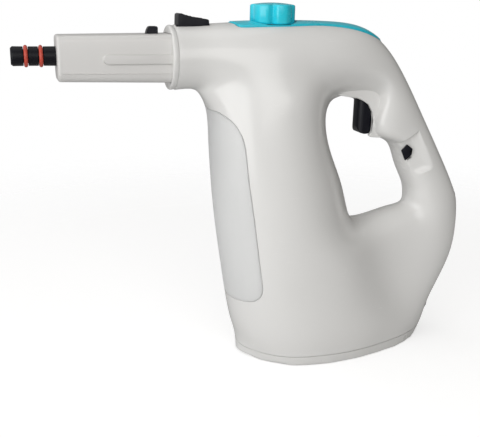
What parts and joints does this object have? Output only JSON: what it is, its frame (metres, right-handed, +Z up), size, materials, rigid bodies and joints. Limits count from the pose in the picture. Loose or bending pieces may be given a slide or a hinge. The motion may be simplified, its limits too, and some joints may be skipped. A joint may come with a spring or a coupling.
{
  "type": "handheld steam cleaner",
  "caption": "Handheld steam cleaner with loop handle, frosted water tank, trigger, steam dial, accessory release lever and black steam spigot on a white barrel.",
  "frame": {"origin": "on the flat base, under the middle of the body", "axes": "+X from the nozzle towards the handle, -X the way the steam leaves, +Z up, Y across the body with the trigger lock on -Y"},
  "size_m": [0.3228, 0.0864, 0.2505],
  "materials": {
    "white_casing": "glossy",
    "white_barrel": "satin",
    "frosted_tank": "frosted",
    "black_plastic": "satin",
    "red_rubber": "satin",
    "teal_plastic": "satin",
    "black_rubber": "matte",
    "steel": "zinc plated",
    "brass": "turned",
    "aluminium": "die cast",
    "cream_plastic": "satin",
    "dark_plastic": "satin",
    "pump_black": "coil moulded in black resin",
    "silicone": "translucent silicone"
  },
  "bodies": {
    "housing": {"casing_left": "white_casing", "casing_right": "white_casing", "base_cover": "white_casing", "nozzle_tube": "white_barrel", "water_tank": "frosted_tank", "steam_spigot": "black_plastic", "o_ring_front": "red_rubber", "o_ring_rear": "red_rubber", "top_plate": "teal_plastic", "tank_seal": "black_rubber", "cord_gland": "black_rubber", "latch_pin": "steel", "trigger_pin": "steel", "latch_spring": "steel", "trigger_spring": "steel", "pump_yoke": "steel", "thermal_fuse": "steel", "casing_screw_1": "steel", "casing_screw_2": "steel", "casing_screw_3": "steel", "casing_screw_4": "steel", "casing_screw_5": "steel", "casing_screw_6": "steel", "base_screw_1": "steel", "base_screw_2": "steel", "base_screw_3": "steel", "steam_valve": "brass", "boiler_body": "aluminium", "boiler_lid": "aluminium", "thermostat": "cream_plastic", "heater_terminals": "cream_plastic", "terminal_block": "cream_plastic", "microswitch_body": "dark_plastic", "pump_body": "pump_black", "suction_tube": "silicone", "feed_tube": "silicone", "steam_pipe": "silicone", "outlet_pipe": "silicone"},
    "dial": {"steam_dial": "teal_plastic", "dial_spindle": "brass"},
    "latch": {"release_button": "black_plastic", "latch_arm": "black_plastic"},
    "trigger": {"trigger": "black_plastic"},
    "switch_lever": {"microswitch_lever": "steel"},
    "lock": {"lock_slider": "black_plastic"},
    "plug": {"filler_plug": "black_rubber"}
  },
  "joints": [
    {"name": "dial_turn", "type": "hinge", "parent": "housing", "child": "dial", "pos_m": [-0.051, 0, 0.2368], "axis": [0, 0, 1], "range_deg": [0, 120]},
    {"name": "release_press", "type": "hinge", "parent": "housing", "child": "latch", "pos_m": [-0.097, 0, 0.229], "axis": [0, -1, 0], "range_deg": [0, 7], "stiffness_Nm_per_rad": 0.4, "springref_deg": -8.59},
    {"name": "trigger_pull", "type": "hinge", "parent": "housing", "child": "trigger", "pos_m": [0.024, 0, 0.197], "axis": [0, -1, 0], "range_deg": [0, 8], "stiffness_Nm_per_rad": 0.8, "springref_deg": -8.59},
    {"name": "switch_lever_bend", "type": "hinge", "parent": "housing", "child": "switch_lever", "pos_m": [0.0358, 0, 0.1932], "axis": [0, -1, 0], "range_deg": [0, 9]},
    {"name": "lock_slide", "type": "slide", "parent": "housing", "child": "lock", "axis": [0.5288, 0, -0.8487], "range_m": [0, 0.004]},
    {"name": "plug_pull", "type": "slide", "parent": "housing", "child": "plug", "axis": [0, 1, 0], "range_m": [0, 0.012]}
  ],
  "couplings": [
    {"joint": "switch_lever_bend", "follows": "trigger_pull", "ratio": 1.1}
  ]
}
